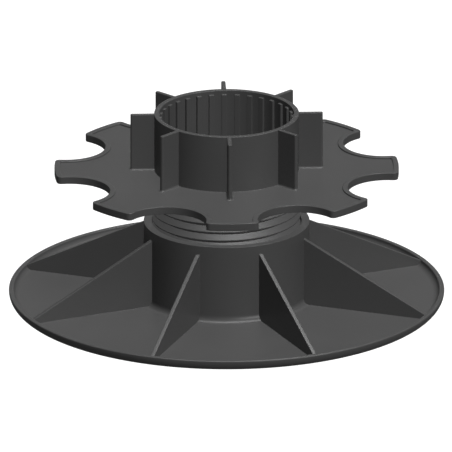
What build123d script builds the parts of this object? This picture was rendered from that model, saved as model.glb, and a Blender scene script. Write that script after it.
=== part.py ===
"""Screw-adjusted pedestal that carries a deck or paving above a flat roof.

It is two mouldings in black polypropylene. The base is a round foot with a threaded
tube in its middle, braced by gussets. The head is a hollow threaded stem that winds
into the base, an eight-armed plate for the hand to turn, and a finned socket on top.

Sizes are in millimetres. The origin is the centre of the face that the pedestal
stands on, and +Z is up. The arms and the fins point along the axes and the diagonals,
and the gussets stand half-way between them.
"""

import os
from math import ceil, cos, floor, radians, sqrt, tan

from build123d import *

# Foot of the base
base_radius = 100.0
disc_thickness = 2.6
lip_height = 2.6
lip_width = 2.4
lip_rounding = 0.6

# Tube of the base
tube_radius = 38.1
rim_height = 38.6
tube_foot_fillet = 3.0
rim_chamfer = 0.3
mouth_depth = 3.0

# Gussets of the base
gusset_count = 8
gusset_thickness = 2.0
gusset_drop = 4.2
gusset_tip_height = 2.0
gusset_lip_bite = 0.4

# Thread that the two mouldings share: a 60 degree V, one start, right-handed
thread_pitch = 4.0
thread_angle = 60.0
crest_radius = 33.9
thread_depth = 3.1
nut_thread_depth = 2.3
crest_clearance = 0.3
mouth_clearance = 0.5
flank_clearance = 0.35
crest_height = 41.5

# Stem of the head
stem_foot_height = 23.3
stem_wall = 2.9
stem_chamfer = 1.2

# Plate of the head
plate_height = 61.2
plate_thickness = 2.8
plate_radius = 79.1
arm_count = 8
notch_radius = 18.4
arm_corner_radius = 2.2
border_width = 2.6
border_height = 0.6
field_corner_radius = 1.0

# Socket of the head
head_height = 90.7
socket_radius = 33.3
socket_wall = 2.4
socket_foot_fillet = 0.2
socket_rim_chamfer = 0.25
spline_count = 32
spline_depth = 1.2
spline_width = 2.4
spline_drop = 1.7

# Fins of the socket
fin_count = 8
fin_radius = 44.2
fin_thickness = 2.0

# How far a rib reaches into its wall, and a cutter past the face that it opens
bite = 1.0
overrun = 0.1

# What follows from the sizes above
flank_slope = tan(radians(thread_angle / 2))
crest_flat = thread_pitch / 2 - thread_depth * flank_slope
root_radius = crest_radius - thread_depth
nut_root_radius = crest_radius + crest_clearance
nut_crest_radius = nut_root_radius - nut_thread_depth
mouth_radius = crest_radius + mouth_clearance
stem_bore_radius = root_radius - stem_wall
lip_top = disc_thickness + lip_height
lip_inner_radius = base_radius - lip_width
edge_round = lip_top - lip_rounding
plate_top = plate_height + plate_thickness
socket_bore_radius = socket_radius - socket_wall


def around(count, shape, first_angle=0.0):
    """The same shape, turned about the axis to each of its evenly spaced places."""
    step = 360 / count
    return [Rot(0, 0, first_angle + step * place) * shape for place in range(count)]


def rib(outline, thickness):
    """An upright rib along +X, drawn by its radii and heights."""
    face = Plane.XZ * make_face(Polyline(*outline, close=True))
    return extrude(face, thickness / 2, both=True)


def quarter_arc(start, end, centre):
    """A quarter circle between two points, for a fillet or a rounded edge."""
    middle = [c + (a - c + b - c) * sqrt(0.5) for a, b, c in zip(start, end, centre)]
    return ThreePointArc(start, tuple(middle), end)


def groove_outline(floor_radius, open_radius, past_radius, half_floor, middle):
    """A V groove's section: its floor, its two flanks, and straight sides past its mouth."""
    half_open = half_floor + abs(open_radius - floor_radius) * flank_slope
    side = [(floor_radius, half_floor), (open_radius, half_open), (past_radius, half_open)]
    lower = [(radius, middle - half) for radius, half in side]
    upper = [(radius, middle + half) for radius, half in reversed(side)]
    return lower + upper


def cut_helix(blank, outline, low, high):
    """Cut a groove along the thread's helix, in whole turns that stop short of high.

    It starts more than a turn under low, so that it runs out of the blank's lower end.
    """
    section = Plane.XZ * make_face(Polyline(*outline, close=True))
    turn = sweep(section, Helix(thread_pitch, thread_pitch, crest_radius), is_frenet=True)
    first = crest_height - thread_pitch * ceil((crest_height - low) / thread_pitch + 1)
    top_of_section = max(height for radius, height in outline)
    for number in range(floor((high - top_of_section - first) / thread_pitch)):
        blank -= Pos(0, 0, first + number * thread_pitch) * turn
    return blank


def make_foot_and_tube():
    """The round foot with its turned-up lip, and the tube with the thread inside."""
    flat_radius = base_radius - edge_round
    lip_middle_radius = base_radius - lip_rounding
    field_radius = lip_inner_radius - lip_height
    fillet_radius = tube_radius + tube_foot_fillet
    fillet_top = disc_thickness + tube_foot_fillet
    mouth_floor = rim_height - mouth_depth
    tube_foot = quarter_arc(
        (tube_radius, fillet_top), (fillet_radius, disc_thickness), (fillet_radius, fillet_top)
    )
    field = Line((fillet_radius, disc_thickness), (field_radius, disc_thickness))
    lip_foot = quarter_arc(
        (field_radius, disc_thickness), (lip_inner_radius, lip_top), (field_radius, lip_top)
    )
    lip = Line((lip_inner_radius, lip_top), (lip_middle_radius, lip_top))
    lip_edge = quarter_arc(
        (lip_middle_radius, lip_top), (base_radius, edge_round), (lip_middle_radius, edge_round)
    )
    outer_edge = quarter_arc((base_radius, edge_round), (flat_radius, 0), (flat_radius, edge_round))
    rest = Polyline(
        (flat_radius, 0),
        (nut_crest_radius, 0),
        (nut_crest_radius, mouth_floor - (mouth_radius - nut_crest_radius) * flank_slope),
        (mouth_radius, mouth_floor),
        (mouth_radius, rim_height - rim_chamfer),
        (mouth_radius + rim_chamfer, rim_height),
        (tube_radius - rim_chamfer, rim_height),
        (tube_radius, rim_height - rim_chamfer),
        (tube_radius, fillet_top),
    )
    section = make_face([tube_foot, field, lip_foot, lip, lip_edge, outer_edge, rest])
    blank = revolve(Plane.XZ * section, Axis.Z)
    half_floor = crest_flat / 2 + (flank_clearance / cos(radians(thread_angle / 2)))
    half_floor -= crest_clearance * flank_slope
    groove = groove_outline(
        nut_root_radius, nut_crest_radius - overrun, nut_crest_radius - bite, half_floor, 0
    )
    return cut_helix(blank, groove, 0, rim_height + thread_pitch)


def make_gusset():
    """A brace whose sloping edge runs from near the tube's rim down into the lip."""
    tip_radius = lip_inner_radius + gusset_lip_bite
    inner_radius = tube_radius - bite
    root_height = disc_thickness - bite
    top = rim_height - gusset_drop
    outline = [
        (inner_radius, root_height),
        (tip_radius, root_height),
        (tip_radius, disc_thickness + gusset_tip_height),
        (tube_radius, top),
        (inner_radius, top),
    ]
    return rib(outline, gusset_thickness)


def make_base():
    """The lower moulding."""
    return make_foot_and_tube() + around(gusset_count, make_gusset(), 180 / gusset_count)


def make_stem():
    """The hollow stem with the thread outside, long enough to end inside the plate."""
    top = plate_height + bite
    outline = Polyline(
        (stem_bore_radius, stem_foot_height),
        (crest_radius - stem_chamfer, stem_foot_height),
        (crest_radius, stem_foot_height + stem_chamfer),
        (crest_radius, top),
        (stem_bore_radius, top),
        close=True,
    )
    blank = revolve(Plane.XZ * make_face(outline), Axis.Z)
    groove = groove_outline(
        root_radius, crest_radius + overrun, crest_radius + bite, crest_flat / 2, thread_pitch / 2
    )
    return cut_helix(blank, groove, stem_foot_height, top + 2 * thread_pitch)


def star(radius, notch, corner):
    """The outline of the plate, or of the field inside its border."""
    hollow = Pos(plate_radius, 0) * Circle(notch)
    outline = Circle(radius) - around(arm_count, hollow, 180 / arm_count)
    return fillet(outline.vertices(), corner)


def make_plate():
    """The plate with its arms, the notches between them and the border along its edge."""
    outline = star(plate_radius, notch_radius, arm_corner_radius) - Circle(stem_bore_radius)
    field = star(plate_radius - border_width, notch_radius + border_width, field_corner_radius)
    whole = Pos(0, 0, plate_height) * extrude(outline, plate_thickness + border_height)
    recess = Pos(0, 0, plate_top) * extrude(field, border_height + bite)
    return whole - recess


def make_socket():
    """The tube on the plate, with splines inside it and fins outside."""
    fillet_radius = socket_radius + socket_foot_fillet
    fillet_top = plate_top + socket_foot_fillet
    outline = Polyline(
        (fillet_radius, plate_top),
        (fillet_radius, plate_top - bite),
        (socket_bore_radius, plate_top - bite),
        (socket_bore_radius, head_height - socket_rim_chamfer),
        (socket_bore_radius + socket_rim_chamfer, head_height),
        (socket_radius - socket_rim_chamfer, head_height),
        (socket_radius, head_height - socket_rim_chamfer),
        (socket_radius, fillet_top),
    )
    foot = quarter_arc(
        (socket_radius, fillet_top), (fillet_radius, plate_top), (fillet_radius, fillet_top)
    )
    tube = revolve(Plane.XZ * make_face([outline, foot]), Axis.Z)
    spline = [
        (socket_bore_radius - spline_depth, plate_top - bite),
        (socket_bore_radius + bite, plate_top - bite),
        (socket_bore_radius + bite, head_height - spline_drop),
        (socket_bore_radius - spline_depth, head_height - spline_drop),
    ]
    fin = [
        (socket_radius - bite, plate_top - bite),
        (fin_radius, plate_top - bite),
        (fin_radius, head_height),
        (socket_radius - bite, head_height),
    ]
    tube += around(spline_count, rib(spline, spline_width))
    return tube + around(fin_count, rib(fin, fin_thickness))


def make_head():
    """The upper moulding."""
    return make_plate() + make_socket() + make_stem()


os.makedirs("parts", exist_ok=True)
export_step(make_base(), "parts/base.step")
export_step(make_head(), "parts/head.step")
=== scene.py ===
# %% [markdown]
# # A screw-adjusted decking pedestal
#
# Two mouldings in black polypropylene carry decking or paving above a flat roof.
# The base is a round foot with a threaded tube, and the head winds in and out of it.
# The frame gives both pieces at their real size, so everything here is placed by it.

# %% Load the frame
from math import acos, atan2, cos, degrees, pi, radians, sin, sqrt, tau

import bmesh
import bpy
from mathutils import Matrix, Vector


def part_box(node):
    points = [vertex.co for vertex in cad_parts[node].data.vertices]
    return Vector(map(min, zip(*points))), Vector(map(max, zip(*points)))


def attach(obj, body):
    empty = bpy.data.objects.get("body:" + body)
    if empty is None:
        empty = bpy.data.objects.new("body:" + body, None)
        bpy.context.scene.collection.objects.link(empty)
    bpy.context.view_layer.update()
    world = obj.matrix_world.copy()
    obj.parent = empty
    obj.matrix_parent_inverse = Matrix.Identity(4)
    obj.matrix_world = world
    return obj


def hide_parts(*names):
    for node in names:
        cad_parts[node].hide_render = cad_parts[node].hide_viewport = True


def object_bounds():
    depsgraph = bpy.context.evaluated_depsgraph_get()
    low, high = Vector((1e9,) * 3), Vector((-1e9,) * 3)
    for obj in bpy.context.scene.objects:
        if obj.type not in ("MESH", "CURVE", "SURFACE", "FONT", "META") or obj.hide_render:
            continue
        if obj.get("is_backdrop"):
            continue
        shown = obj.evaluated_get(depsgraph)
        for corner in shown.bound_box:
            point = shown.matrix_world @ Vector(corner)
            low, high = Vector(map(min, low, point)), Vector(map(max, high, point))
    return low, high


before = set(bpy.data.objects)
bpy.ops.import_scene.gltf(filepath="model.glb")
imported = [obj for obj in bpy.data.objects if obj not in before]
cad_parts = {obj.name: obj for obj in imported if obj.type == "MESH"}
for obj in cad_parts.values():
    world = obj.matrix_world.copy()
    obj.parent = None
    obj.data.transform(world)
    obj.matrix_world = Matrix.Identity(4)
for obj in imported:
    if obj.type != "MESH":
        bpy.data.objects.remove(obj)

frame_box = [list(corner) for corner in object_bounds()]

# %% [markdown]
# ## Sizes
#
# A maker's drawing is in millimetres and Blender's scene is in metres. The outlines below are
# drawn in millimetres and turned to metres in one place, where a mesh is made. The overall
# sizes come from the frame, and the walls, threads and ribs are the moulding's own. SUNK is how
# far a rib or a tube reaches into its neighbour, so that the two overlap and can be united.

# %% Sizes in millimetres
MM = 0.001
SUNK = 0.6
base_high = Vector(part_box("base")[1]) / MM
head_low, head_high = (Vector(corner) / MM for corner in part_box("head"))

base_radius = base_high.x
rim_height = base_high.z
disc_thickness = 2.6
lip_height = 2.6
lip_width = 2.4
tube_radius = 38.1
tube_foot_fillet = 3.0
mouth_depth = 3.0

thread_pitch = 4.0
crest_radius = 33.9
root_radius = 30.8
nut_root_radius = 34.2
nut_crest_radius = 31.9
mouth_radius = 34.4
flank_slope = 1 / sqrt(3)
crest_height = 41.5

stem_foot_height = head_low.z
bore_radius = 27.9
head_height = head_high.z
plate_radius = head_high.x
plate_height = 61.2
plate_thickness = 2.8
border_width = 2.6
border_height = 0.75
plate_top = plate_height + plate_thickness
socket_radius = 33.3
socket_bore_radius = 30.9
print(f"foot {2 * base_radius:.1f} across, rim at {rim_height:.1f}, top at {head_height:.1f} mm")

# %% [markdown]
# ## From outlines to closed meshes
#
# Every part of a moulding is a stack of rings with as many points each: a turned body is one
# outline carried round the axis, and a rib is a section carried along its length. Quads between
# neighbouring rings give clean, even faces, and a closed result can be united with the others.

# %% Rings of points to a mesh
TURN_STEPS = 256


def arc(centre, radius, start, end, steps=5):
    """Points of an arc, from one angle to the other in degrees."""
    angles = [radians(start + (end - start) * step / steps) for step in range(steps + 1)]
    return [(centre[0] + radius * cos(angle), centre[1] + radius * sin(angle)) for angle in angles]


def closed_mesh(name, rings, endless=False):
    """An object from rings of points in millimetres, capped at both ends or joined up."""
    shape = bmesh.new()
    rows = [[shape.verts.new([value * MM for value in point]) for point in ring] for ring in rings]
    pairs = list(zip(rows, rows[1:]))
    if endless:
        pairs.append((rows[-1], rows[0]))
    else:
        shape.faces.new(rows[0])
        shape.faces.new(rows[-1])
    for row, next_row in pairs:
        for place, corner in enumerate(row):
            after = (place + 1) % len(row)
            shape.faces.new((corner, row[after], next_row[after], next_row[place]))
    bmesh.ops.recalc_face_normals(shape, faces=shape.faces)
    mesh = bpy.data.meshes.new(name)
    shape.to_mesh(mesh)
    shape.free()
    made = bpy.data.objects.new(name, mesh)
    bpy.context.collection.objects.link(made)
    return made


def turned(name, outline):
    """A turned body: an outline of radii and heights, carried once round the axis."""
    rings = []
    for step in range(TURN_STEPS):
        angle = tau * step / TURN_STEPS
        rings.append([(radius * cos(angle), radius * sin(angle), height) for radius, height in outline])
    made = closed_mesh(name, rings, endless=True)
    print(f"{name}: {len(made.data.polygons)} faces")
    return made


def bar(name, outline):
    """A solid bar round the axis, from the radii and heights of its side."""
    rings = []
    for radius, height in outline:
        angles = [tau * step / TURN_STEPS for step in range(TURN_STEPS)]
        rings.append([(radius * cos(angle), radius * sin(angle), height) for angle in angles])
    return closed_mesh(name, rings)


# %% [markdown]
# ## The foot and its tube
#
# The foot is a thin disc with a turned-up lip that stiffens its edge: its underside rounds up
# as on a dish, and inside the field sweeps up to it over a quarter of an ellipse. The tube
# stands on the disc with a fillet, because a sharp corner would crack there. The wall behind
# the thread is plain here, and the ridge that winds along it is added later. Small rounded
# edges catch the light as the real ones do.

# %% Turn the foot and tube
LIP_EDGE = 0.6
LIP_INNER_EDGE = 0.5
LIP_SPREAD = 2.8
RIM_EDGE = 0.2
lip_top = disc_thickness + lip_height
lip_inner_radius = base_radius - lip_width
lip_rise = lip_height - LIP_INNER_EDGE
edge_round = lip_top - LIP_EDGE
mouth_floor = rim_height - mouth_depth

fillet_middle = (tube_radius + tube_foot_fillet, disc_thickness + tube_foot_fillet)
lip_middle = (lip_inner_radius + LIP_INNER_EDGE, lip_top - LIP_INNER_EDGE)
foot_outline = arc(fillet_middle, tube_foot_fillet, 180, 270, steps=8)
for across, up in arc((-1, 1), 1, 270, 360, steps=8):
    foot_outline.append((lip_inner_radius + LIP_SPREAD * across, disc_thickness + lip_rise * up))
foot_outline += arc(lip_middle, LIP_INNER_EDGE, 180, 90, steps=4)[1:]
foot_outline += arc((base_radius - LIP_EDGE, edge_round), LIP_EDGE, 90, 0)
foot_outline += arc((base_radius - edge_round, edge_round), edge_round, 0, -90, steps=12)[1:]
foot_outline += [(nut_root_radius, 0.0), (nut_root_radius, mouth_floor)]
foot_outline.append((mouth_radius, mouth_floor + RIM_EDGE))
foot_outline += arc((mouth_radius + RIM_EDGE, rim_height - RIM_EDGE), RIM_EDGE, 180, 90, steps=4)
foot_outline += arc((tube_radius - RIM_EDGE, rim_height - RIM_EDGE), RIM_EDGE, 90, 0, steps=4)
foot_and_tube = turned("foot_and_tube", foot_outline)

# %% [markdown]
# ## One gusset
#
# A gusset braces the tube against the foot. Its top edge runs straight down into the lip. Its
# section changes along its length, so it is made as a row of sections: wide at the foot where
# it is filleted, straight at the sides and rounded along the top.

# %% Make one gusset
RIB_STEPS = 4
gusset_half = 1.0
gusset_drop = 4.2
gusset_lip_bite = 0.4
gusset_tip_height = 2.0
RIB_FILLET = 0.1
RIB_EDGE = 0.35

gusset_tip = lip_inner_radius + gusset_lip_bite
gusset_length = gusset_tip - tube_radius
gusset_root_top = rim_height - gusset_drop
gusset_tip_top = disc_thickness + gusset_tip_height
gusset_fall = (gusset_root_top - gusset_tip_top) / gusset_length


def gusset_ring(reach):
    """The gusset's section at one distance from the axis, flared where it meets the tube."""
    top = gusset_tip_top + (gusset_tip - reach) * gusset_fall
    near_tube = min(RIB_FILLET, max(0.0, tube_radius + RIB_FILLET - reach))
    half = gusset_half + (RIB_FILLET - sqrt(RIB_FILLET ** 2 - near_tube ** 2))
    foot = (half + RIB_FILLET, disc_thickness + RIB_FILLET)
    section = [(half + RIB_FILLET, disc_thickness - SUNK)]
    section += arc(foot, RIB_FILLET, 270, 180, RIB_STEPS)
    section += arc((half - RIB_EDGE, top - RIB_EDGE), RIB_EDGE, 0, 90, RIB_STEPS)
    section += [(-across, height) for across, height in reversed(section)]
    return [(reach, across, height) for across, height in section]


reaches = [tube_radius - SUNK, tube_radius]
reaches += [tube_radius + RIB_FILLET * share for share in (0.1, 0.3, 0.6, 1.0)]
reaches += [tube_radius + gusset_length * share for share in (0.25, 0.5, 0.75, 0.9, 1.0)]
gusset = closed_mesh("gusset", [gusset_ring(reach) for reach in reaches])
print(f"gusset: {gusset_length:.1f} long, {gusset_root_top - disc_thickness:.1f} mm tall")

# %% [markdown]
# ## Ribs set round the axis
#
# Gussets, fins and splines all stand evenly round one axis. A small Geometry Nodes tree does
# this once for all of them: it makes as many points as there are ribs, puts a copy on each and
# turns it by its share of the circle. Changing the count or the first angle needs no new mesh.

# %% The tree that sets ribs round the axis
def add_node(tree, kind, inputs=(), **settings):
    """One node with its settings, its values, and its links from other nodes' sockets."""
    node = tree.nodes.new(kind)
    for key, value in settings.items():
        setattr(node, key, value)
    for key, value in dict(inputs).items():
        if isinstance(value, bpy.types.NodeSocket):
            tree.links.new(value, node.inputs[key])
        else:
            node.inputs[key].default_value = value
    return node


def new_tree(name, sockets):
    """A tree with named inputs and one mesh output. It returns the tree and its input node."""
    tree = bpy.data.node_groups.new(name, "GeometryNodeTree")
    tree.interface.new_socket("Mesh", in_out="OUTPUT", socket_type="NodeSocketGeometry")
    for label, kind in sockets.items():
        tree.interface.new_socket(label, in_out="INPUT", socket_type="NodeSocket" + kind)
    return tree, tree.nodes.new("NodeGroupInput").outputs


def finish_tree(tree, geometry, material):
    """The tree's end: instances made real, and the material set."""
    real = add_node(tree, "GeometryNodeRealizeInstances", {"Geometry": geometry})
    painted = add_node(tree, "GeometryNodeSetMaterial", {
        "Geometry": real.outputs[0], "Material": material})
    add_node(tree, "NodeGroupOutput", {"Mesh": painted.outputs[0]})


rib_tree, given = new_tree("ribs round the axis", {
    "Rib": "Object", "Count": "Int", "First Angle": "Float", "Material": "Material"})
one_rib = add_node(rib_tree, "GeometryNodeObjectInfo", {"Object": given["Rib"]})
places = add_node(rib_tree, "GeometryNodePoints", {"Count": given["Count"]})
number = add_node(rib_tree, "GeometryNodeInputIndex")
share = add_node(rib_tree, "ShaderNodeMath", {
    0: number.outputs[0], 1: given["Count"]}, operation="DIVIDE")
angle = add_node(rib_tree, "ShaderNodeMath", {
    0: share.outputs[0], 1: tau, 2: given["First Angle"]}, operation="MULTIPLY_ADD")
turn = add_node(rib_tree, "ShaderNodeCombineXYZ", {"Z": angle.outputs[0]})
copies = add_node(rib_tree, "GeometryNodeInstanceOnPoints", {
    "Points": places.outputs[0], "Instance": one_rib.outputs["Geometry"], "Rotation": turn.outputs[0]})
finish_tree(rib_tree, copies.outputs[0], given["Material"])
print(f"tree: {rib_tree.name}, {len(rib_tree.nodes)} nodes")

# %% [markdown]
# ## The thread's ridge
#
# A screw thread is a ridge with a 60 degree section, wound round a cylinder. One turn of it
# rises by the pitch. The second tree winds a spiral of constant radius and carries a trapezoid
# along it. The stem's ridge points outwards and the tube's points inwards, and they share the
# pitch, so the head really could wind into the base. Both are counted from one crest of the
# stem, which stands at crest_height on the +X side.

# %% The tree that winds a thread
thread_tree, given = new_tree("thread ridge", {
    "Pitch": "Float", "Turns": "Float", "Middle Radius": "Float", "Depth": "Float",
    "Inner Width": "Float", "Outer Width": "Float", "Steps": "Int", "Material": "Material"})
rise = add_node(thread_tree, "ShaderNodeMath", {
    0: given["Pitch"], 1: given["Turns"]}, operation="MULTIPLY")
spiral = add_node(thread_tree, "GeometryNodeCurveSpiral", {
    "Resolution": given["Steps"], "Rotations": given["Turns"], "Start Radius": given["Middle Radius"],
    "End Radius": given["Middle Radius"], "Height": rise.outputs[0], "Reverse": True})
upright = add_node(thread_tree, "GeometryNodeSetCurveNormal", {"Curve": spiral.outputs[0]}, mode="Z_UP")
section = add_node(thread_tree, "GeometryNodeCurvePrimitiveQuadrilateral", {
    "Height": given["Depth"], "Bottom Width": given["Inner Width"], "Top Width": given["Outer Width"],
    "Offset": 0.0}, mode="TRAPEZOID")
lying = add_node(thread_tree, "GeometryNodeTransform", {
    "Geometry": section.outputs[0], "Rotation": (0.0, 0.0, radians(-90))})
swept = add_node(thread_tree, "GeometryNodeCurveToMesh", {
    "Curve": upright.outputs[0], "Profile Curve": lying.outputs[0], "Fill Caps": True})
finish_tree(thread_tree, swept.outputs[0], given["Material"])
print(f"tree: {thread_tree.name}, {len(thread_tree.nodes)} nodes")


def grown(name, tree, values):
    """The plain mesh that a tree makes with these values."""
    carrier = bpy.data.objects.new(name, bpy.data.meshes.new(name))
    bpy.context.collection.objects.link(carrier)
    modifier = carrier.modifiers.new(tree.name, "NODES")
    modifier.node_group = tree
    for socket in tree.interface.items_tree:
        if socket.in_out == "INPUT":
            modifier[socket.identifier] = values[socket.name]
    seen = carrier.evaluated_get(bpy.context.evaluated_depsgraph_get())
    made = bpy.data.objects.new(name, bpy.data.meshes.new_from_object(seen))
    bpy.data.objects.remove(carrier)
    bpy.context.collection.objects.link(made)
    print(f"{name}: {len(made.data.polygons)} faces")
    return made


# %% [markdown]
# ## The finish: moulded black polypropylene
#
# Polypropylene is a little softer and waxier to the eye than ABS. The mould's cavity is spark
# eroded, so the skin has a fine even grain that spreads highlights, and the melt leaves broad,
# very faint differences in sheen where it flowed. There is no paint and no metal here, so one
# colour, one index of refraction and a middling roughness carry the look. The real grain is
# about a tenth of a millimetre, too fine to show here, so it is drawn some four times as coarse.

# %% Make the polypropylene
POLYPROPYLENE_IOR = 1.49
BLACK = ("#4c4c4c", "#4f4f4f")
GRAIN_MM = 0.45
GRAIN_DEPTH_MM = 0.05
FLOW_MM = 26.0


def from_hex(text):
    """A linear colour from an sRGB hex value."""
    channels = [int(text[place:place + 2], 16) / 255 for place in (1, 3, 5)]
    return [c / 12.92 if c <= 0.04045 else ((c + 0.055) / 1.055) ** 2.4 for c in channels] + [1.0]


def moulded_polypropylene(name, deep, pale):
    """Black polypropylene from a spark-eroded mould, its patterns sized in millimetres."""
    material = bpy.data.materials.new(name)
    material.use_nodes = True
    tree = material.node_tree
    tree.nodes.clear()
    place = add_node(tree, "ShaderNodeTexCoord").outputs["Object"]
    flow = add_node(tree, "ShaderNodeTexNoise", {
        "Vector": place, "Scale": 1 / (FLOW_MM * MM), "Detail": 3.0, "Distortion": 0.6})
    grain = add_node(tree, "ShaderNodeTexNoise", {
        "Vector": place, "Scale": 1 / (GRAIN_MM * MM), "Detail": 2.0, "Roughness": 0.6})
    colour = add_node(tree, "ShaderNodeMix", {
        "Factor": flow.outputs[0], "A": from_hex(deep), "B": from_hex(pale)}, data_type="RGBA")
    sheen = add_node(tree, "ShaderNodeMapRange", {
        "Value": flow.outputs[0], "To Min": 0.38, "To Max": 0.46})
    bump = add_node(tree, "ShaderNodeBump", {
        "Height": grain.outputs[0], "Strength": 0.12, "Distance": GRAIN_DEPTH_MM * MM})
    skin = add_node(tree, "ShaderNodeBsdfPrincipled", {
        "Base Color": colour.outputs[2], "Roughness": sheen.outputs[0], "IOR": POLYPROPYLENE_IOR,
        "Normal": bump.outputs[0]})
    add_node(tree, "ShaderNodeOutputMaterial", {"Surface": skin.outputs[0]})
    print(f"{name}: grain {GRAIN_MM} mm, flow marks {FLOW_MM} mm")
    return material


base_skin = moulded_polypropylene("black_polypropylene_base", *BLACK)
head_skin = moulded_polypropylene("black_polypropylene_head", *BLACK)

# %% [markdown]
# ## Uniting a moulding
#
# A moulding is one piece, so its parts are united into one closed skin. Blender's manifold
# solver is quick and exact on closed meshes. Afterwards only the corners sharper than 32
# degrees stay sharp, and weighted normals keep the flat faces flat beside the small roundings.

# %% Unite, smooth and finish
SHARP = radians(32)


def work_in_modifiers(body):
    """Turn what the body's modifiers make into its own mesh."""
    seen = body.evaluated_get(bpy.context.evaluated_depsgraph_get())
    mesh = bpy.data.meshes.new_from_object(seen)
    body.modifiers.clear()
    body.data = mesh


def combined(body, others, operation):
    """The body after one boolean with each of the others, which are used up."""
    for other in others:
        modifier = body.modifiers.new(other.name, "BOOLEAN")
        modifier.operation = operation
        modifier.solver = "MANIFOLD"
        modifier.object = other
    work_in_modifiers(body)
    for other in others:
        bpy.data.objects.remove(other)
    return body


def finished(body, name, material):
    """The united skin with its corners, its normals and its one material."""
    body.name = name
    body.data.name = name
    body.data.materials.clear()
    body.data.materials.append(material)
    body.data.polygons.foreach_set("material_index", [0] * len(body.data.polygons))
    body.data.polygons.foreach_set("use_smooth", [True] * len(body.data.polygons))
    body.data.set_sharp_from_angle(angle=SHARP)
    weighted = body.modifiers.new("weighted normals", "WEIGHTED_NORMAL")
    weighted.keep_sharp = True
    work_in_modifiers(body)
    shape = bmesh.new()
    shape.from_mesh(body.data)
    loose = sum(1 for edge in shape.edges if len(edge.link_faces) != 2)
    volume = shape.calc_volume() / MM ** 3
    print(f"{name}: {len(shape.faces)} faces, {loose} open edges, {volume:.0f} mm3")
    shape.free()
    return body


# %% [markdown]
# ## The base
#
# Eight gussets stand half-way between the arms of the plate. The ridge inside the tube starts
# under the standing face, where it is cut off flush, and runs out in the wider mouth, where the
# stem finds its way in. It lies half a pitch off the stem's crest, in the stem's groove.

# %% Grow and unite the base
gusset_count = 8
NUT_STEPS = 96
NUT_TURNS = 9.5
NUT_PITCHES_BELOW_CREST = 11.5
RIDGE_SUNK = 0.1
nut_crest_half = 0.336
nut_depth = nut_root_radius + RIDGE_SUNK - nut_crest_radius
nut_root_half = nut_crest_half + nut_depth * flank_slope
nut_middle_radius = nut_crest_radius + nut_depth / 2
nut_start = crest_height - NUT_PITCHES_BELOW_CREST * thread_pitch

gussets = grown("gussets", rib_tree, {
    "Rib": gusset, "Count": gusset_count, "First Angle": tau / gusset_count / 2,
    "Material": base_skin})
nut_ridge = grown("nut_ridge", thread_tree, {
    "Pitch": thread_pitch * MM, "Turns": NUT_TURNS, "Middle Radius": nut_middle_radius * MM,
    "Depth": nut_depth * MM, "Inner Width": 2 * nut_crest_half * MM,
    "Outer Width": 2 * nut_root_half * MM, "Steps": NUT_STEPS, "Material": base_skin})
nut_ridge.data.transform(Matrix.Translation((0, 0, nut_start * MM)))
ground = bar("ground", [(tube_radius, -2 * thread_pitch), (tube_radius, 0.0)])
nut_ridge = combined(nut_ridge, [ground], "DIFFERENCE")

base = combined(foot_and_tube, [gussets, nut_ridge], "UNION")
base = finished(base, "base_moulding", base_skin)
bpy.data.objects.remove(gusset)
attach(base, "base")
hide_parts("base")

# %% [markdown]
# ## The plate
#
# The hand turns the head by this star-shaped plate. Its edge is eight arcs of one circle with
# round notches between them and a small rounding at each corner. The same rule, drawn a little
# smaller each time, gives the rounded edges, the raised border and the field inside it.

# %% Draw the plate's outline and stack it
arm_count = 8
notch_radius = 18.4
arm_corner_radius = 2.2
field_corner_radius = 1.0
OUTER_STEPS = 4
CORNER_STEPS = 5
NOTCH_STEPS = 24
PLATE_EDGE = 0.3
BORDER_EDGE = 0.4


def star_ring(inset, corner, height):
    """The plate's outline, drawn in from the edge by inset, as points at one height.

    Swing is where an arm's rounded corner stands, as an angle about the axis, and lean is the
    direction in which it meets the notch.
    """
    radius = plate_radius - inset
    notch = notch_radius + inset
    reach = radius - corner
    swing = acos((reach ** 2 + plate_radius ** 2 - (notch + corner) ** 2) / (2 * reach * plate_radius))
    lean = degrees(atan2(reach * sin(swing), plate_radius - reach * cos(swing)))
    half = 180 / arm_count
    swing = degrees(swing)
    low = (reach * cos(radians(swing)), -reach * sin(radians(swing)))
    high = (low[0], -low[1])
    outline = arc((0, 0), radius, -half, -swing, OUTER_STEPS)[:-1]
    outline += arc(low, corner, -swing, lean, CORNER_STEPS)[:-1]
    outline += arc((plate_radius, 0), notch, 180 + lean, 180 - lean, NOTCH_STEPS)
    outline += arc(high, corner, -lean, swing, CORNER_STEPS)[1:]
    outline += arc((0, 0), radius, swing, half, OUTER_STEPS)[1:-1]
    ring = []
    for arm in range(arm_count):
        turn = radians(half + 2 * half * arm)
        for x, y in outline:
            ring.append((x * cos(turn) - y * sin(turn), x * sin(turn) + y * cos(turn), height))
    return ring


border_top = plate_top + border_height
border_middle = (border_width - BORDER_EDGE, border_top - BORDER_EDGE)
outer_side = arc((PLATE_EDGE, plate_height + PLATE_EDGE), PLATE_EDGE, 270, 180, steps=3)
outer_side += arc((PLATE_EDGE, border_top - PLATE_EDGE), PLATE_EDGE, 180, 90, steps=3)
plate_rings = []
for across, height in outer_side:
    plate_rings.append(star_ring(across, arm_corner_radius - across, height))
for across, height in arc(border_middle, BORDER_EDGE, 90, 0, steps=3):
    plate_rings.append(star_ring(across, field_corner_radius + border_width - across, height))
plate_rings.append(star_ring(border_width, field_corner_radius, plate_top))
plate = closed_mesh("plate", plate_rings)
print(f"plate: {len(plate_rings[0])} points round, {len(plate_rings)} rings")

# %% [markdown]
# ## The socket and the stem
#
# The socket is a plain tube with a small fillet at its foot. The stem is first a plain bar as
# thick as the thread's root, and its bore is cut last, through the stem and the plate at once,
# so that it is one clean hole. OVERRUN is how far a cutter reaches past the face that it opens.

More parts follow.
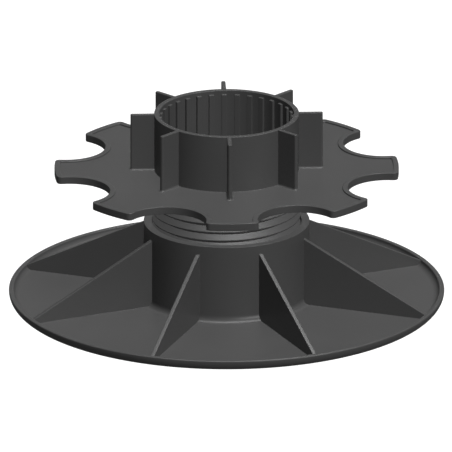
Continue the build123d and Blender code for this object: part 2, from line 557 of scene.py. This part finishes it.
# %% Turn the socket and the stem
SOCKET_EDGE = 0.25
SOCKET_FILLET = 0.2
OVERRUN = 1.0
socket_foot = socket_radius + SOCKET_FILLET
edge_height = head_height - SOCKET_EDGE

socket_outline = arc((socket_foot, plate_top + SOCKET_FILLET), SOCKET_FILLET, 180, 270)
socket_outline += [(socket_foot, plate_top - SUNK), (socket_bore_radius, plate_top - SUNK)]
socket_outline += arc((socket_bore_radius + SOCKET_EDGE, edge_height), SOCKET_EDGE, 180, 90, steps=3)
socket_outline += arc((socket_radius - SOCKET_EDGE, edge_height), SOCKET_EDGE, 90, 0, steps=3)
socket = turned("socket", socket_outline)

stem = bar("stem", [(root_radius, stem_foot_height), (root_radius, plate_height + SUNK)])
bore = bar("bore", [(bore_radius, stem_foot_height - OVERRUN), (bore_radius, plate_top + OVERRUN)])

# %% [markdown]
# ## Fins, splines and the stem's thread
#
# Each fin is a stack of one plan, flared at its foot where it is filleted to the plate and
# drawn in at its rounded top. A spline is the same on a smaller scale, and it starts below the
# rim to let a spigot in.

# %% Make a fin and a spline
fin_count = 8
fin_radius = 44.2
fin_half = 1.0
FIN_CORNER = 0.8
FIN_FILLET = 0.9
spline_count = 32
spline_depth = 1.2
spline_half = 1.2
spline_drop = 1.7
SPLINE_EDGE = 0.2
LEAST_CORNER = 0.05
spline_root = -(socket_bore_radius + SUNK)
spline_tip = -(socket_bore_radius - spline_depth)
spline_top = head_height - spline_drop


def rib_plan(inner, outer, half, corner, grow, height):
    """A rib's plan with rounded outer corners, grown all round, at one height."""
    radius = max(corner + grow, LEAST_CORNER)
    middle = (outer + grow - radius, half + grow - radius)
    side = [(inner, -half - grow)]
    side += arc((middle[0], -middle[1]), radius, 270, 360, RIB_STEPS)
    side += arc(middle, radius, 0, 90, RIB_STEPS)
    side += [(inner, half + grow)]
    return [(x, y, height) for x, y in side]


def fin_ring(grow, height):
    """The fin's plan at one height."""
    return rib_plan(socket_radius - SUNK, fin_radius, fin_half, FIN_CORNER, grow, height)


def spline_ring(grow, height):
    """The spline's plan at one height. It points inwards, so its radii count backwards."""
    return rib_plan(spline_root, spline_tip, spline_half, SPLINE_EDGE, grow, height)


fin_rings = [fin_ring(FIN_FILLET, plate_top - SUNK)]
for grow, height in arc((FIN_FILLET, plate_top + FIN_FILLET), FIN_FILLET, 270, 180, RIB_STEPS):
    fin_rings.append(fin_ring(grow, height))
for grow, height in arc((-RIB_EDGE, head_height - RIB_EDGE), RIB_EDGE, 0, 90, RIB_STEPS):
    fin_rings.append(fin_ring(grow, height))
fin = closed_mesh("fin", fin_rings)

spline_rings = [spline_ring(0.0, plate_top - SUNK)]
for grow, height in arc((-SPLINE_EDGE, spline_top - SPLINE_EDGE), SPLINE_EDGE, 0, 90, RIB_STEPS):
    spline_rings.append(spline_ring(grow, height))
spline = closed_mesh("spline", spline_rings)
print(f"fin: {len(fin_rings)} rings, spline: {len(spline_rings)} rings")

# %% [markdown]
# ## The head
#
# The stem's ridge is wound a little too long and cut off flush at the stem's foot and inside the
# plate, because a moulded thread ends where its moulding does. Then the plate, the socket, the
# stem and all the ribs become one skin, and the bore is cut through it.

# %% Grow and unite the head
STEM_STEPS = 96
STEM_TURNS = 10
STEM_PITCHES_BELOW_CREST = 5
stem_depth = crest_radius - root_radius + RIDGE_SUNK
stem_middle_radius = crest_radius - stem_depth / 2
stem_crest_half = thread_pitch / 2 - (crest_radius - root_radius) * flank_slope
stem_root_half = stem_crest_half + stem_depth * flank_slope
stem_start = crest_height - STEM_PITCHES_BELOW_CREST * thread_pitch

fins = grown("fins", rib_tree, {
    "Rib": fin, "Count": fin_count, "First Angle": 0.0, "Material": head_skin})
splines = grown("splines", rib_tree, {
    "Rib": spline, "Count": spline_count, "First Angle": 0.0, "Material": head_skin})
stem_ridge = grown("stem_ridge", thread_tree, {
    "Pitch": thread_pitch * MM, "Turns": STEM_TURNS, "Middle Radius": stem_middle_radius * MM,
    "Depth": stem_depth * MM, "Inner Width": 2 * stem_root_half * MM,
    "Outer Width": 2 * stem_crest_half * MM, "Steps": STEM_STEPS, "Material": head_skin})
stem_ridge.data.transform(Matrix.Translation((0, 0, stem_start * MM)))

trim_radius = crest_radius + OVERRUN
trim_length = 3 * thread_pitch
below = bar("below", [(trim_radius, stem_foot_height - trim_length), (trim_radius, stem_foot_height)])
above = bar("above", [(trim_radius, plate_height + SUNK), (trim_radius, plate_height + trim_length)])
stem_ridge = combined(stem_ridge, [below, above], "DIFFERENCE")

head = combined(plate, [socket, stem, stem_ridge, fins, splines], "UNION")
head = combined(head, [bore], "DIFFERENCE")
head = finished(head, "head_moulding", head_skin)
for spare in (fin, spline):
    bpy.data.objects.remove(spare)
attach(head, "head")
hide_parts("head")

# %% [markdown]
# ## The camera
#
# The photograph is a parallel view: the far side of the foot is as wide as the near side. So
# the camera is orthographic. Its scale comes from the width of the foot in the picture, and it
# is aimed so that the foot's centre falls where it does there.

# %% Set the camera
PICTURE_SIZE = 452
FOOT_WIDTH_PX = 435.52
CENTRE_PX = (226.6, 299.15)
ELEVATION = radians(19.6)
AZIMUTH = radians(2.0)
CAMERA_DISTANCE = 1.0
px_per_metre = FOOT_WIDTH_PX / (2 * base_radius * MM)

camera = bpy.data.objects.new("camera", bpy.data.cameras.new("camera"))
bpy.context.collection.objects.link(camera)
bpy.context.scene.camera = camera
camera.data.type = "ORTHO"
camera.data.ortho_scale = PICTURE_SIZE / px_per_metre
look = Vector((sin(AZIMUTH) * cos(ELEVATION), cos(AZIMUTH) * cos(ELEVATION), -sin(ELEVATION)))
turned_view = look.to_track_quat("-Z", "Y")
right = turned_view @ Vector((1, 0, 0))
up = turned_view @ Vector((0, 1, 0))
aim = right * (PICTURE_SIZE / 2 - CENTRE_PX[0]) + up * (CENTRE_PX[1] - PICTURE_SIZE / 2)
aim /= px_per_metre
camera.location = aim - look * CAMERA_DISTANCE
camera.rotation_euler = turned_view.to_euler()
camera.data.clip_end = 10 * CAMERA_DISTANCE
bpy.context.scene.view_settings.view_transform = "Standard"
print(f"camera: {camera.data.ortho_scale / MM:.1f} mm across the picture")

# %% [markdown]
# ## Floor and light
#
# The object stands on white, in an even studio light. A high lamp behind lights the tops and gives
# the thread and the fillets their bright lines. A key lamp at the front right lifts the faces
# turned that way, and low lamps in front and behind fill the rest. They cast no shadow, as in the
# picture. Only the weak overhead lamp does, so that the pedestal sits on its floor. Nothing here
# is metal or glass, so reflections take only a small share of the white surroundings, which keeps
# the black plastic black. Light that bounces off the floor finds it dark, so that the undersides
# stay in shade.

# %% Lay the floor and light it
FLOOR_HALF = 3.0
floor_mesh = bpy.data.meshes.new("floor")
floor_mesh.from_pydata([(-FLOOR_HALF, -FLOOR_HALF, 0), (FLOOR_HALF, -FLOOR_HALF, 0),
                        (FLOOR_HALF, FLOOR_HALF, 0), (-FLOOR_HALF, FLOOR_HALF, 0)], [], [(0, 1, 2, 3)])
floor = bpy.data.objects.new("floor", floor_mesh)
bpy.context.collection.objects.link(floor)
floor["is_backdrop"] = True

paper = bpy.data.materials.new("white_paper")
paper.use_nodes = True
paper.node_tree.nodes.clear()
FLOOR_GLOW = 0.30
FLOOR_SEEN = "#f4f4f4"
FLOOR_IN_BOUNCES = "#303030"
GLOSSY_SHARE = 0.06


def white_share(tree):
    """How much of the white background a ray sees: all, a small share, or none."""
    seen_by = add_node(tree, "ShaderNodeLightPath")
    direct = add_node(tree, "ShaderNodeMath", {
        0: seen_by.outputs["Is Camera Ray"],
        1: seen_by.outputs["Is Transmission Ray"]}, operation="MAXIMUM")
    share = add_node(tree, "ShaderNodeMath", {
        0: seen_by.outputs["Is Glossy Ray"],
        1: GLOSSY_SHARE, 2: direct.outputs[0]}, operation="MULTIPLY_ADD")
    return share.outputs[0]


white = white_share(paper.node_tree)
glow = add_node(paper.node_tree, "ShaderNodeMath", {0: white, 1: FLOOR_GLOW}, operation="MULTIPLY")
shade = add_node(paper.node_tree, "ShaderNodeMix", {
    "Factor": white, "A": from_hex(FLOOR_IN_BOUNCES), "B": from_hex(FLOOR_SEEN)}, data_type="RGBA")
lit = add_node(paper.node_tree, "ShaderNodeBsdfDiffuse", {"Color": shade.outputs[2]})
bright = add_node(paper.node_tree, "ShaderNodeEmission", {"Strength": glow.outputs[0]})
both = add_node(paper.node_tree, "ShaderNodeAddShader", {0: lit.outputs[0], 1: bright.outputs[0]})
add_node(paper.node_tree, "ShaderNodeOutputMaterial", {"Surface": both.outputs[0]})
floor_mesh.materials.append(paper)

world = bpy.data.worlds.new("studio")
bpy.context.scene.world = world
world.use_nodes = True
world.node_tree.nodes.clear()
WORLD_FILL = 0.03
level = add_node(world.node_tree, "ShaderNodeMapRange", {
    "Value": white_share(world.node_tree), "To Min": WORLD_FILL, "To Max": 1.0})
sky = add_node(world.node_tree, "ShaderNodeBackground", {"Strength": level.outputs[0]})
add_node(world.node_tree, "ShaderNodeOutputWorld", {"Surface": sky.outputs[0]})


def sun(name, strength, azimuth, elevation, softness=20, shadow=False, glossy=False):
    """A distant lamp. Angles are in degrees, and azimuth is from the front towards the right.

    Softness is how wide the lamp looks, and glossy says whether it shows as a highlight.
    """
    lamp = bpy.data.objects.new(name, bpy.data.lights.new(name, "SUN"))
    bpy.context.collection.objects.link(lamp)
    lamp.data.energy = strength * pi
    lamp.data.angle = radians(softness)
    lamp.data.use_shadow = shadow
    lamp.visible_glossy = glossy
    level_part = cos(radians(elevation))
    direction = Vector((sin(radians(azimuth)) * level_part, -cos(radians(azimuth)) * level_part,
                        sin(radians(elevation))))
    lamp.rotation_euler = direction.to_track_quat("Z", "Y").to_euler()
    print(f"{name}: {strength:.2f} of a full light, {softness} degrees wide")


sun("overhead", 0.07, 30, 70, softness=30, shadow=True, glossy=True)
sun("key", 0.41, 42, 36, glossy=True)
sun("front_fill", 0.29, 10, 26)
sun("back_fill", 0.22, 180, 12)
sun("behind_high", 0.55, 165, 70, glossy=True)

# %% [markdown]
# ## The size after dressing
#
# The dressed pedestal has to keep the frame's size, so its box is set beside the frame's box,
# and how far each corner moved is printed.

# %% Print how far the size moved
dressed_box = [list(corner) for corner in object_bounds()]
for side, before, after in zip(("low", "high"), frame_box, dressed_box):
    print(f"{side} corner moved, in mm:", [round((b - a) / MM, 2) for a, b in zip(before, after)])
